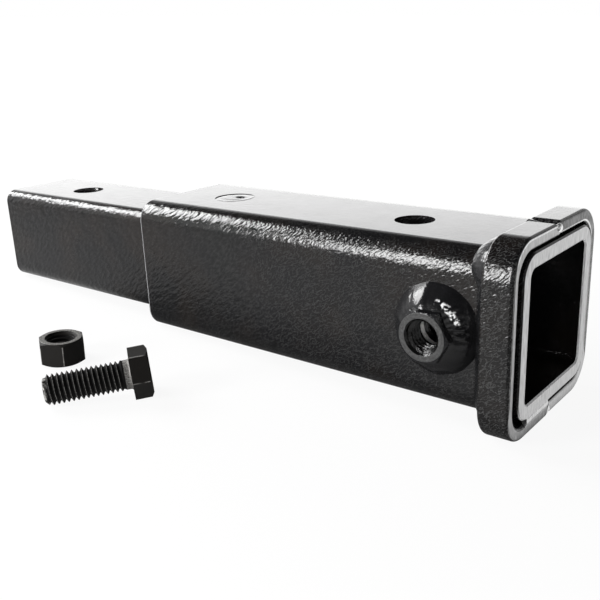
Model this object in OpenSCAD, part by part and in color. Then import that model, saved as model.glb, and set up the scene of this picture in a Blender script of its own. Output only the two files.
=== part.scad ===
// Hitch receiver extender for a 2 inch hitch.
// A hollow square shank is welded into a length of receiver tube. The tube's mouth is
// strengthened by a collar of two bent bars, and a nut welded to its side takes the
// anti-rattle bolt, which lies taken out beside the extender with its lock nut.
//
// Origin: the centre of the receiver's pin hole, on the axis of the tubes.
// +X points out of the mouth and +Z up the pin holes. The welded nut is on the -Y side.
// The tubes are level here, so the surface that the extender lies on is tipped by rest_tilt.

/* [Tubes] */
// Outside width and height of the square shank
shank_size = 50.8; // [46:0.1:60]
// Wall of the shank
shank_wall = 6.35; // [4:0.05:9]
// Outside corner radius of the shank
shank_corner = 6.5; // [5:0.1:9]
// Corner radius inside the hollow shank
shank_bore_corner = 3; // [1:0.1:5]
// Length of shank that stands out of the receiver
shank_reach = 126; // [80:1:250]
// Length of shank held inside the receiver
shank_insert = 66; // [50:1:75]
// Space on each side between the shank and the receiver's socket
socket_clearance = 0.35; // [0.2:0.05:0.8]
// Corner radius of the socket
socket_corner = 3.2; // [2:0.1:5]
// Wall of the receiver tube
receiver_wall = 6; // [5:0.25:9]
// Outside corner radius of the receiver tube
receiver_corner = 9.5; // [7:0.25:13]
// Length of the receiver tube
receiver_len = 196; // [160:1:300]
// Bevel on the sawn ends of both tubes
end_bevel = 0.6; // [0.3:0.1:1.2]

/* [Pin holes] */
// Diameter of the hitch pin's holes
pin_hole_d = 16.7; // [13:0.1:20]
// Distance from the receiver's mouth to its pin hole
pin_from_mouth = 61.5; // [45:0.5:90]
// Distance from the shank's free end to its pin hole
shank_pin_from_end = 45; // [25:0.5:70]

/* [Mouth collar] */
// Width of the collar's bar, along the tube
collar_width = 12; // [8:0.1:20]
// Thickness of the collar's bar
collar_thickness = 5.2; // [4.5:0.05:10]
// Radius of the bar's rounded edges
collar_edge = 1.3; // [0.5:0.1:1.6]
// Mean gap between the collar and the tube
collar_gap = 1.45; // [1.3:0.05:1.7]
// How far the collar sits below the middle of the tube
collar_drop = 0.95; // [0:0.05:1]
// How much lower the near half sits than the far half
collar_step = 0.5; // [0:0.1:0.6]
// Distance from the mouth back to the collar's front face
collar_setback = 1; // [0.9:0.1:5]
// Width of the welding groove where the halves meet, at the outside
seam_width = 5; // [3:0.1:10]
// Height of the square land left under the groove
seam_land = 1.15; // [0.5:0.05:2.5]

/* [Welds] */
// Length along the tube of the weld behind the collar
collar_weld_leg = 7; // [4:0.1:10]
// Height of that weld on the collar's rear face
collar_weld_rise = 4.3; // [4:0.1:5]
// Length along the shank of the weld at the receiver's end
shank_weld_leg = 6; // [3:0.1:9]
// Bare edge left on the receiver's end face outside that weld
shank_weld_margin = 1.2; // [0.9:0.1:2.5]
// Leg of the weld round the side nut
nut_weld_leg = 7; // [3:0.1:8]
// Diameter of the plug welds that tie the receiver to the shank
plug_weld_d = 19; // [10:0.5:28]
// Distance from the receiver's end to the plug welds
plug_from_end = 34; // [18:0.5:46]
// How far a plug weld's rim lies below the tube's surface
plug_rim_drop = 0.5; // [0.2:0.05:1]
// How far a plug weld's middle stands above its rim
plug_crown = 0.7; // [0.3:0.05:1.2]
// Depth of fill missing from the collar's seam grooves
seam_hollow = 1.1; // [0.5:0.1:2]
// Width of the bead that ties the top seam to the tube
seam_bead_width = 4; // [2:0.1:8]
// How much weld metal on the collar's face stands back from the mouth
bead_setback = 0.3; // [0.1:0.05:0.6]

/* [Side nut, bolt and lock nut] */
// Major diameter of the thread
thread_d = 12.7; // [10:0.1:14]
// Pitch of the thread
thread_pitch = 1.954; // [1.25:0.001:2.5]
// Size across the flats of the nuts and the bolt's head
hex_flats = 19.05; // [17:0.05:24]
// Height of the nuts
nut_height = 11.1; // [8:0.1:14]
// Clear space between the side nut's weld and the collar
nut_collar_space = 2.2; // [0.5:0.1:20]
// How much wider the countersink at a nut's face is than its thread, on the radius
nut_countersink = 0.85; // [0.1:0.05:1.1]
// Space round the bolt in its hole through the tube's wall
bolt_hole_clearance = 0.4; // [0.2:0.05:1]
// Length of the bolt under its head
bolt_length = 34.9; // [25:0.1:60]
// Height of the bolt's head
head_height = 7.94; // [5:0.01:10]
// Length of plain neck under the bolt's head
bolt_neck = 2.6; // [2:0.1:10]
// How much slimmer the neck is than the thread
neck_relief = 0.4; // [0.2:0.05:1]
// Radius of the fillet under the bolt's head
head_fillet = 1; // [0.4:0.1:1.8]
// Bevel at the bolt's tip
tip_bevel = 1.5; // [0.5:0.1:3]
// Slope of the bevels on the hexagons' corners
hex_bevel_angle = 30; // [15:1:40]
// How much smaller the round face of a hexagon is than its flats
hex_face_inset = 0.6; // [0.2:0.05:2]

/* [Loose hardware on the surface] */
// Distance along the surface from the receiver's end to the bolt's head
bolt_along = 52; // [20:0.1:200]
// Distance from the receiver's side to the bolt's head
bolt_out = 55; // [30:0.1:150]
// Direction that the bolt points in
bolt_turn = 233; // [180:1:300]
// Distance along the surface from the receiver's end to the lock nut
lock_nut_along = -1.7; // [-60:0.1:5]
// Distance from the receiver's side to the lock nut
lock_nut_out = 51.7; // [30:0.1:150]
// Turn of the lock nut's corners
lock_nut_turn = -33; // [-60:1:0]

/* [Hidden] */
$fn = 72;

// How far a cutter runs past the face that it cuts
over = 1;
// Steps in a weld's crowned face, and how far the crown bulges past a straight face
crown_steps = 4;
crown_bulge = 0.12;
// Turn between the points of the fillet under the bolt's head
fillet_turn = 22.5;
// Fraction of the pitch, on the diameter, by which an inside thread is cut down to its minor diameter
minor_thread_factor = 1.0825;

// Colours of the paint, the weld beads under it and the black oxide fasteners
paint = "#26272a";
weld_paint = "#34353a";
black_oxide = "#3a3734";

// Tubes
shank_half = shank_size/2;
socket_size = shank_size + 2*socket_clearance;
receiver_size = socket_size + 2*receiver_wall;
receiver_half = receiver_size/2;
mouth_x = pin_from_mouth;
receiver_end = mouth_x - receiver_len;
shank_end = receiver_end - shank_reach;
shank_pin_x = shank_end + shank_pin_from_end;
plug_x = receiver_end + plug_from_end;
shank_weld_rise = socket_clearance + receiver_wall - shank_weld_margin;

// Collar, bent to the same inside radius as the tube's corner
collar_inside = receiver_half + collar_gap;
collar_outside = collar_inside + collar_thickness;
collar_front = mouth_x - collar_setback;
collar_back = collar_front - collar_width;
near_drop = collar_drop + collar_step/2;
far_drop = collar_drop - collar_step/2;
groove_depth = collar_thickness - seam_land;

// Side nut
hex_corner = hex_flats/2/cos(30);
hex_face_r = hex_flats/2 - hex_face_inset/2;
nut_weld_r = hex_corner + nut_weld_leg;
nut_x = collar_back - nut_collar_space - nut_weld_r;
nut_bore_r = (thread_d - minor_thread_factor*thread_pitch)/2;
nut_mouth_r = thread_d/2 + nut_countersink;
nut_lead = nut_mouth_r - nut_bore_r;
bolt_hole_d = thread_d + 2*bolt_hole_clearance;

// The extender lies on the bottom edge of the receiver's end and on the near half of the
// collar: the surface is the line from that edge that touches the bar's rounded rear edge.
rest_x = receiver_end + end_bevel;
rest_z = -receiver_half;
edge_x = collar_back + collar_edge - rest_x;
edge_drop = collar_outside + near_drop - collar_edge - receiver_half;
rest_tilt = atan2(edge_drop, edge_x) + asin(collar_edge/norm([edge_x, edge_drop]));
// The bolt lies on its head and its tip, so its axis dips by this much
bolt_dip = atan2((hex_flats - thread_d)/2, bolt_length - tip_bevel);

// Places and outlines

// Turns what stands on the XY plane to lie along the tubes: its x is Y, its y is Z and its z is X
module along_tube(x) {
    translate([x, 0, 0]) rotate([90, 0, 90]) children();
}

// Stands something on the receiver's near side, over the bolt's hole
module on_near_side() {
    translate([nut_x, -receiver_half, 0]) rotate([90, 0, 0]) children();
}

// Stands something on the surface that the extender lies on
module on_surface(along, out) {
    translate([rest_x, 0, rest_z]) rotate([0, rest_tilt, 0])
        translate([along, -receiver_half - out, 0]) children();
}

module rounded_rectangle(size, corner) {
    inner = size - 2*corner*[1, 1];
    square([size.x, inner.y], center = true);
    square([inner.x, size.y], center = true);
    for (x = [-1, 1], y = [-1, 1])
        translate([x*inner.x, y*inner.y]/2) circle(r = corner);
}

module square_bar(size, corner, from, to) {
    along_tube(from) linear_extrude(height = to - from)
        rounded_rectangle([size, size], corner);
}

// Sweeps an outline round a square bar. The outline's x is its height over the bar's
// flat side, and its y runs along the bar.
module ring_round_bar(size, corner) {
    run = size - 2*corner;
    for (quarter = [0:3]) rotate([0, 0, 90*quarter]) {
        translate([size/2, run/2, 0]) rotate([90, 0, 0])
            linear_extrude(height = run) children();
        translate([run/2, run/2, 0]) rotate_extrude(angle = 90)
            translate([corner, 0]) children();
    }
}

// Cutter for the bevel on a bar's end at x. way is 1 for an end that faces +X and -1 for one
// that faces -X, and side is 1 for a bar's outside edge and -1 for a socket's inside edge.
module bevel_cutter(size, corner, x, way, side) {
    reach = end_bevel + over;
    along_tube(x) ring_round_bar(size, corner)
        polygon([[-side*reach, way*over], [side*over, -way*reach], [side*over, way*over]]);
}

module pin_hole_cutter(x, size) {
    translate([x, 0, 0]) cylinder(d = pin_hole_d, h = size + 2*over, center = true);
}

// A weld's crowned face, as points from its toe on one surface to its toe on the other
function crown(leg, rise) = [for (i = [0:crown_steps])
    let (t = i/crown_steps, pull = 2*t*(1 - t)*(0.5 + crown_bulge))
    [leg*((1 - t)*(1 - t) + pull), rise*(t*t + pull)]];

// Fillet weld round a square bar, on the -X side of a face at x
module weld_round_bar(size, corner, x, leg, rise) {
    along_tube(x) ring_round_bar(size, corner)
        polygon(concat([[0, 0]], [for (p = crown(leg, rise)) [p.y, -p.x]]));
}

// Hexagon whose lower face is turned down to a bevel, and its upper one too if both_ends is true
module hex_blank(height, both_ends = true) {
    wide = hex_corner + over;
    bevel = (wide - hex_face_r)*tan(hex_bevel_angle);
    top = both_ends ? [[wide, height - bevel], [hex_face_r, height]] : [[wide, height]];
    intersection() {
        cylinder(r = hex_corner, h = height, $fn = 6);
        rotate_extrude() polygon(concat([[0, 0], [hex_face_r, 0], [wide, bevel]], top, [[0, height]]));
    }
}

// Nut, standing on its face, with a bore of the thread's minor diameter and a countersink at both ends
module hex_nut() {
    difference() {
        hex_blank(nut_height);
        rotate_extrude() polygon([[0, -over], [nut_mouth_r + over, -over], [nut_bore_r, nut_lead],
            [nut_bore_r, nut_height - nut_lead], [nut_mouth_r + over, nut_height + over],
            [0, nut_height + over]]);
    }
}

// Tubes

module receiver_tube() {
    color(paint) difference() {
        square_bar(receiver_size, receiver_corner, receiver_end, mouth_x);
        square_bar(socket_size, socket_corner, receiver_end - over, mouth_x + over);
        bevel_cutter(receiver_size, receiver_corner, receiver_end, -1, 1);
        bevel_cutter(receiver_size, receiver_corner, mouth_x, 1, 1);
        bevel_cutter(socket_size, socket_corner, mouth_x, 1, -1);
        pin_hole_cutter(0, receiver_size);
        translate([plug_x, 0, 0])
            cylinder(d = plug_weld_d, h = receiver_size + 2*over, center = true);
        on_near_side() translate([0, 0, -receiver_wall - over])
            cylinder(d = bolt_hole_d, h = receiver_wall + 2*over);
    }
}

module shank_tube() {
    color(paint) difference() {
        square_bar(shank_size, shank_corner, shank_end, receiver_end + shank_insert);
        square_bar(shank_size - 2*shank_wall, shank_bore_corner,
            shank_end - over, receiver_end + shank_insert + over);
        bevel_cutter(shank_size, shank_corner, shank_end, -1, 1);
        pin_hole_cutter(shank_pin_x, shank_size);
    }
}

// Collar

// One bent bar, on the -Y side, level with the tube
module collar_half() {
    reach = collar_outside + over;
    flare = seam_width/2*(groove_depth + over)/groove_depth;
    along_tube(collar_back) difference() {
        ring_round_bar(2*collar_inside, receiver_corner)
            translate([collar_thickness, collar_width]/2)
                rounded_rectangle([collar_thickness, collar_width], collar_edge);
        translate([0, -reach, -over]) cube([reach, 2*reach, collar_width + 2*over]);
        for (end = [-1, 1])
            translate([0, 0, -over]) linear_extrude(height = collar_width + 2*over)
                polygon([[0, end*(collar_outside - groove_depth)], [-flare, end*reach],
                    [over, end*reach]]);
    }
}

module near_half() {
    translate([0, 0, -near_drop]) collar_half();
}

module far_half() {
    translate([0, 0, -far_drop]) mirror([0, 1, 0]) collar_half();
}

module collar_near_half() {
    color(paint) near_half();
}

module collar_far_half() {
    color(paint) far_half();
}

// Collar's welds

// The side nut's weld as a whole mound of metal, which climbs the nut's flats to its brow
module nut_weld_form() {
    brow = hex_flats/2 - over;
    brow_height = nut_weld_leg + (hex_corner - brow)/2;
    rotate_extrude() polygon(concat([[0, 0]],
        [for (p = crown(nut_weld_leg, nut_weld_leg)) [hex_corner + p.x, p.y]],
        [[brow, brow_height], [0, brow_height]]));
}

module collar_rear_weld() {
    color(weld_paint) difference() {
        weld_round_bar(receiver_size, receiver_corner, collar_back, collar_weld_leg, collar_weld_rise);
        on_near_side() nut_weld_form();
    }
}

// Weld metal in the groove between the halves. side is 1 at the top and -1 at the bottom.
module seam_fill(side) {
    near_out = collar_outside - side*near_drop;
    far_out = collar_outside - side*far_drop;
    slope = seam_width/2/groove_depth;
    brim = slope*(groove_depth - seam_hollow);
    along_tube(collar_back) linear_extrude(height = collar_width) scale([1, side])
        polygon([[0, near_out - groove_depth], [0, far_out - groove_depth],
            [brim, far_out - seam_hollow], [0, (near_out + far_out)/2 - seam_hollow*1.3],
            [-brim, near_out - seam_hollow]]);
}

// Weld metal between the tube and the collar's rounded front edge, from y_from to y_to
module front_bead(side, y_from, y_to) {
    low = receiver_half;
    high = collar_inside + max(-side*near_drop, -side*far_drop) + collar_edge;
    face = mouth_x - bead_setback;
    scale([1, 1, side]) translate([0, y_to, 0]) rotate([90, 0, 0])
        linear_extrude(height = y_to - y_from)
            polygon([[collar_front - collar_edge, low], [mouth_x - end_bevel, low],
                [face, low + end_bevel], [face, (low + high)/2],
                [collar_front, high], [collar_front - collar_edge, high]]);
}

module collar_seam_weld_top() {
    color(weld_paint) union() {
        seam_fill(1);
        difference() {
            front_bead(1, -seam_bead_width/2, seam_bead_width/2);
            near_half();
            far_half();
        }
    }
}

module collar_seam_weld_bottom() {
    color(weld_paint) seam_fill(-1);
}

module collar_front_stitch_weld() {
    color(weld_paint) difference() {
        front_bead(-1, receiver_corner - receiver_half, -seam_width/2);
        near_half();
    }
}

// Welds between the shank and the receiver

module shank_weld() {
    color(weld_paint)
        weld_round_bar(shank_size, shank_corner, receiver_end, shank_weld_leg, shank_weld_rise);
}

// Fills the hole through the receiver's top wall, down to the shank
module plug_weld() {
    r = plug_weld_d/2;
    rim = receiver_half - shank_half - plug_rim_drop;
    crater_r = plug_weld_d/8;
    translate([plug_x, 0, shank_half]) difference() {
        rotate_extrude() polygon([[0, 0], [r, 0], [r, rim], [r*0.9, rim + plug_crown*0.6],
            [r*0.6, rim + plug_crown], [0, rim + plug_crown]]);
        translate([crater_r/2, 0, rim + plug_crown + crater_r*0.6]) sphere(r = crater_r);
    }
}

module plug_weld_top() {
    color(weld_paint) plug_weld();
}

module plug_weld_bottom() {
    color(weld_paint) mirror([0, 0, 1]) plug_weld();
}

// Side nut

module anti_rattle_nut() {
    color(paint) on_near_side() hex_nut();
}

module nut_weld() {
    color(weld_paint) on_near_side() difference() {
        nut_weld_form();
        hex_blank(nut_height);
    }
}

// Bolt and lock nut, lying on the surface

// Bolt, standing on its head's round face, with the underside of its head at z = 0
module hex_bolt() {
    thread_r = thread_d/2;
    neck_r = thread_r - neck_relief/2;
    fillet = [for (turn = [0:fillet_turn:90])
        [neck_r + head_fillet*(1 - sin(turn)), head_fillet*(1 - cos(turn))]];
    translate([0, 0, -head_height]) hex_blank(head_height, false);
    rotate_extrude() polygon(concat([[0, -over], [neck_r + head_fillet, -over]], fillet,
        [[neck_r, bolt_neck], [thread_r, bolt_neck], [thread_r, bolt_length - tip_bevel],
        [thread_r - tip_bevel, bolt_length], [0, bolt_length]]));
}

module anti_rattle_bolt() {
    color(black_oxide) on_surface(bolt_along, bolt_out) rotate([0, 0, bolt_turn])
        rotate([0, bolt_dip, 0]) translate([0, 0, hex_flats/2]) rotate([0, 90, 0])
            rotate([0, 0, 30]) hex_bolt();
}

module lock_nut() {
    color(black_oxide) on_surface(lock_nut_along, lock_nut_out)
        rotate([0, 0, lock_nut_turn]) hex_nut();
}

receiver_tube();
shank_tube();
collar_near_half();
collar_far_half();
collar_rear_weld();
collar_seam_weld_top();
collar_seam_weld_bottom();
collar_front_stitch_weld();
shank_weld();
plug_weld_top();
plug_weld_bottom();
anti_rattle_nut();
nut_weld();
anti_rattle_bolt();
lock_nut();
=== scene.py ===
"""Looks of the hitch receiver extender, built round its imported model.

The two tubes, the collar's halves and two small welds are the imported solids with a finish. The
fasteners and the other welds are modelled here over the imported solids, with their threads and
ripples.
"""

import logging
import math
from dataclasses import dataclass
from enum import Enum
from typing import Callable

import bmesh
import bpy
from mathutils import Matrix, Vector, noise


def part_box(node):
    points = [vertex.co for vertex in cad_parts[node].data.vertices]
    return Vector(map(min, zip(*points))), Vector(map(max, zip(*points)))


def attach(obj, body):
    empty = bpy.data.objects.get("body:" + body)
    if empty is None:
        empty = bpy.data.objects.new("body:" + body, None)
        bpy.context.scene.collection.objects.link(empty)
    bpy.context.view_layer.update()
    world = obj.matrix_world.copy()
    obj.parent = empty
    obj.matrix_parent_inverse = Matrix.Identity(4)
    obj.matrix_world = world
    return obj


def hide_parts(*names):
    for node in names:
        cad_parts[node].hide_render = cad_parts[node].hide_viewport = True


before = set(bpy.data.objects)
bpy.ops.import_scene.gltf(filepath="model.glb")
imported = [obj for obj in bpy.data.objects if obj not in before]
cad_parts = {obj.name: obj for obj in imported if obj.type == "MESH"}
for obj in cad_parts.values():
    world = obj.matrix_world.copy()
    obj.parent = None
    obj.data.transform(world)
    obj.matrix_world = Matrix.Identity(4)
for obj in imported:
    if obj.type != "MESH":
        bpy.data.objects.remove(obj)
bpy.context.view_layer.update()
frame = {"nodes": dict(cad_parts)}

LOG = logging.getLogger("hitch_receiver_extender")

MM = 0.001
BODY = "root"
WELD_GAP = 1e-6
NEARLY = 0.01 * MM
THREAD_DEPTH = 0.6134
Colour = tuple[float, float, float]


class Slot(Enum):
    """Material slots of the record."""

    PAINT = "black_paint"
    WELD = "painted_weld"
    OXIDE = "black_oxide"


class End(Enum):
    """Side of a wall that a bead or a disc stands on."""

    UP = 1
    DOWN = -1


# Sizes


@dataclass(frozen=True)
class Sizes:
    """Sizes of the extender in metres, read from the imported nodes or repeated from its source."""

    end_bevel: float = 0.6 * MM
    receiver_corner: float = 9.5 * MM
    shank_corner: float = 6.5 * MM
    collar_edge: float = 1.3 * MM
    collar_thickness: float = 5.2 * MM
    collar_gap: float = 1.45 * MM
    near_drop: float = 1.2 * MM
    far_drop: float = 0.7 * MM
    receiver_wall: float = 6 * MM
    bolt_hole_r: float = 6.75 * MM
    seam_width: float = 5 * MM
    groove_depth: float = 4.05 * MM
    thread_d: float = 12.7 * MM
    thread_pitch: float = 1.954 * MM
    hex_flats: float = 19.05 * MM
    nut_height: float = 11.1 * MM
    nut_bore_r: float = 5.2924 * MM
    nut_mouth_r: float = 7.2 * MM
    bolt_length: float = 34.9 * MM
    head_height: float = 7.94 * MM
    bolt_neck: float = 2.6 * MM
    neck_relief: float = 0.4 * MM
    head_fillet: float = 1 * MM
    tip_bevel: float = 1.5 * MM
    bolt_along: float = 52 * MM
    bolt_out: float = 55 * MM
    bolt_turn: float = 233
    lock_nut_along: float = -1.7 * MM
    lock_nut_out: float = 51.7 * MM
    lock_nut_turn: float = -33

    @property
    def receiver_end(self) -> float:
        """X of the receiver's end, where the shank goes in."""
        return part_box("receiver_tube")[0].x

    @property
    def mouth_x(self) -> float:
        """X of the receiver's mouth."""
        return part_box("receiver_tube")[1].x

    @property
    def receiver_half(self) -> float:
        """Half of the receiver's outside size."""
        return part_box("receiver_tube")[1].z

    @property
    def shank_half(self) -> float:
        """Half of the shank's outside size."""
        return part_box("shank_tube")[1].z

    @property
    def collar_back(self) -> float:
        """X of the collar's rear face."""
        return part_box("collar_near_half")[0].x

    @property
    def collar_front(self) -> float:
        """X of the collar's front face."""
        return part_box("collar_near_half")[1].x

    @property
    def nut_x(self) -> float:
        """X of the side nut's axis."""
        low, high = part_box("anti_rattle_nut")
        return (low.x + high.x) / 2

    @property
    def plug_x(self) -> float:
        """X of the plug welds' axis."""
        low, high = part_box("plug_weld_top")
        return (low.x + high.x) / 2

    @property
    def hex_corner(self) -> float:
        """Radius to the corners of the hexagons."""
        return self.hex_flats / 2 / math.cos(math.radians(30))

    @property
    def floor(self) -> Matrix:
        """Frame of the surface that the extender lies on, from the edge that it rests on."""
        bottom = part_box("collar_near_half")[0].z
        rest_x = self.receiver_end + self.end_bevel
        edge_x = self.collar_back + self.collar_edge - rest_x
        edge_drop = -bottom - self.collar_edge - self.receiver_half
        tilt = math.atan2(edge_drop, edge_x) + math.asin(self.collar_edge / math.hypot(edge_x, edge_drop))
        return Matrix.Translation((rest_x, 0, -self.receiver_half)) @ Matrix.Rotation(tilt, 4, "Y")

    def on_floor(self, along: float, out: float) -> Matrix:
        """Frame of something that lies beside the extender.

        Args:
            along: Distance along the floor from the receiver's end.
            out: Distance from the receiver's near side.

        Returns:
            The frame, with Z up from the floor.
        """
        return self.floor @ Matrix.Translation((along, -self.receiver_half - out, 0))

    @property
    def bolt_frame(self) -> Matrix:
        """Frame of the bolt: Z runs from the underside of its head to its tip."""
        dip = math.atan2((self.hex_flats - self.thread_d) / 2, self.bolt_length - self.tip_bevel)
        lying = self.on_floor(self.bolt_along, self.bolt_out) @ turn(self.bolt_turn, "Z")
        raised = lying @ Matrix.Rotation(dip, 4, "Y") @ Matrix.Translation((0, 0, self.hex_flats / 2))
        return raised @ turn(90, "Y") @ turn(30, "Z")

    @property
    def lock_nut_frame(self) -> Matrix:
        """Frame of the lock nut, with Z up its bore."""
        return self.on_floor(self.lock_nut_along, self.lock_nut_out) @ turn(self.lock_nut_turn, "Z")

    @property
    def side_nut_frame(self) -> Matrix:
        """Frame of the side nut, with Z out of the receiver's near side."""
        return Matrix.Translation((self.nut_x, -self.receiver_half, 0)) @ turn(90, "X")


def turn(degrees: float, axis: str) -> Matrix:
    """A turn by some degrees about an axis."""
    return Matrix.Rotation(math.radians(degrees), 4, axis)


SIZES = Sizes()


# Shader graphs


class Sock:
    """An output socket, with arithmetic that adds Math nodes."""

    def __init__(self, graph: "Graph", socket: bpy.types.NodeSocket) -> None:
        """Wraps one output socket of a graph."""
        self.graph = graph
        self.socket = socket

    def out(self, name: str) -> "Sock":
        """Another output of the same node."""
        return Sock(self.graph, self.socket.node.outputs[name])

    def _maths(self, operation: str, first: "Sock | float", second: "Sock | float") -> "Sock":
        """Joins two values with a Math node."""
        return self.graph.node("ShaderNodeMath", {"operation": operation}, {0: first, 1: second})

    def __add__(self, other: "Sock | float") -> "Sock":
        """The sum."""
        return self._maths("ADD", self, other)

    __radd__ = __add__

    def __mul__(self, other: "Sock | float") -> "Sock":
        """The product."""
        return self._maths("MULTIPLY", self, other)

    __rmul__ = __mul__

    def __sub__(self, other: "Sock | float") -> "Sock":
        """The difference."""
        return self._maths("SUBTRACT", self, other)

    def __rsub__(self, other: "Sock | float") -> "Sock":
        """The difference, the other way round."""
        return self._maths("SUBTRACT", other, self)

    def __truediv__(self, other: "Sock | float") -> "Sock":
        """The quotient."""
        return self._maths("DIVIDE", self, other)

    def __pow__(self, other: "Sock | float") -> "Sock":
        """The power."""
        return self._maths("POWER", self, other)

    def most(self, other: "Sock | float") -> "Sock":
        """The larger of the two."""
        return self._maths("MAXIMUM", self, other)

    def size(self) -> "Sock":
        """The value without its sign."""
        return self.most(self * -1)

    def span(self, other: "Sock") -> "Sock":
        """How far off the two are together, at a right angle."""
        return (self * self + other * other) ** 0.5

    def rise(self, low: float, high: float) -> "Sock":
        """A soft step from 0 at low to 1 at high."""
        settings = {"interpolation_type": "SMOOTHSTEP"}
        return self.graph.node("ShaderNodeMapRange", settings, {0: self, 1: low, 2: high})


class Graph:
    """The node tree of a material or of the world."""

    def __init__(self, tree: bpy.types.NodeTree) -> None:
        """Empties the tree."""
        self.tree = tree
        tree.nodes.clear()

    def node(self, kind: str, settings: dict | None = None, inputs: dict | None = None) -> Sock:
        """Adds a node, sets it up and then fills its sockets.

        Args:
            kind: The node's type.
            settings: Its properties by name. The stops of a ramp are pairs of place and grey or colour.
            inputs: Values or links by the socket's name or number.

        Returns:
            The node's first output that is in use.
        """
        node = self.tree.nodes.new(kind)
        for name, value in (settings or {}).items():
            if name == "stops":
                self._set_stops(node.color_ramp, value)
            else:
                setattr(node, name, value)
        for key, value in (inputs or {}).items():
            if isinstance(value, Sock):
                self.tree.links.new(value.socket, node.inputs[key])
            else:
                node.inputs[key].default_value = value
        used = [output for output in node.outputs if output.enabled]
        return Sock(self, used[0]) if used else None

    @staticmethod
    def _set_stops(ramp: bpy.types.ColorRamp, stops: list[tuple[float, float]]) -> None:
        """Gives a ramp its stops.

        Args:
            ramp: The ramp.
            stops: Pairs of place and grey.
        """
        while len(ramp.elements) < len(stops):
            ramp.elements.new(1)
        for element, (place, grey) in zip(ramp.elements, stops):
            element.position = place
            element.color = (grey, grey, grey, 1)

    def place(self, frame_of_piece: Matrix | None = None) -> Sock:
        """Object coordinates, in metres.

        Args:
            frame_of_piece: A frame to read them from, where it isn't the row's.

        Returns:
            The coordinates.
        """
        here = self.node("ShaderNodeTexCoord").out("Object")
        if frame_of_piece is None:
            return here
        inputs = {
            "Vector": here,
            "Location": frame_of_piece.to_translation(),
            "Rotation": frame_of_piece.to_euler("XYZ"),
        }
        return self.node("ShaderNodeMapping", {"vector_type": "TEXTURE"}, inputs)

    def split(self, vector: Sock) -> tuple[Sock, Sock, Sock]:
        """The three parts of a vector."""
        parts = self.node("ShaderNodeSeparateXYZ", inputs={"Vector": vector})
        return parts.out("X"), parts.out("Y"), parts.out("Z")

    def cloud(self, place: Sock, size: float, detail: float = 2, stretch: Colour = (1, 1, 1)) -> Sock:
        """Noise from 0 to 1.

        Args:
            place: Where to read it.
            size: Width of its blobs, in metres.
            detail: Octaves of finer noise.
            stretch: How much longer the blobs are along each axis.

        Returns:
            The noise.
        """
        scale = [1 / size / s for s in stretch]
        scaled = self.node("ShaderNodeMapping", inputs={"Vector": place, "Scale": scale})
        return self.node("ShaderNodeTexNoise", inputs={"Vector": scaled, "Scale": 1, "Detail": detail})

    def over_square(self, place: Sock, half: float, corner: float, drop: float = 0.0) -> Sock:
        """Height over a square bar with round corners, which runs along X.

        Args:
            place: Where to read it.
            half: Half of the bar's size.
            corner: Radius of its corners.
            drop: How far the bar lies below the axis.

        Returns:
            The height in metres, negative inside the bar.
        """
        _, y, z = self.split(place)
        out_y = (y.size() - (half - corner)).most(0.0)
        out_z = ((z + drop).size() - (half - corner)).most(0.0)
        return out_y.span(out_z) - corner

    def blend(self, factor: Sock | float, low: Sock | Colour, high: Sock | Colour) -> Sock:
        """A mix of two colours, low where the factor is 0."""
        low, high = ((*c, 1) if isinstance(c, tuple) else c for c in (low, high))
        return self.node("ShaderNodeMix", {"data_type": "RGBA"}, {"Factor": factor, 6: low, 7: high})

    def bump(self, height: Sock, depth: float, strength: float = 1) -> Sock:
        """A normal from a height of 0 to 1 that stands for a depth in metres."""
        inputs = {"Height": height, "Distance": depth, "Strength": strength}
        return self.node("ShaderNodeBump", inputs=inputs)

    def surface(self, **inputs: "Sock | float | Colour") -> None:
        """Ends the graph in one Principled shader.

        Args:
            inputs: Values or links by the socket's name, with _ for a space.
        """
        filled = {}
        for name, value in inputs.items():
            is_colour = isinstance(value, tuple) and len(value) == 3
            filled[name.replace("_", " ")] = (*value, 1) if is_colour else value
        shader = self.node("ShaderNodeBsdfPrincipled", inputs=filled)
        self.node("ShaderNodeOutputMaterial", inputs={"Surface": shader})


# Finishes


def new_graph(name: str) -> tuple[bpy.types.Material, Graph]:
    """Makes a material.

    Args:
        name: Its name.

    Returns:
        The material and its empty graph.
    """
    material = bpy.data.materials.new(name)
    material.use_nodes = True
    return material, Graph(material.node_tree)


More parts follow.
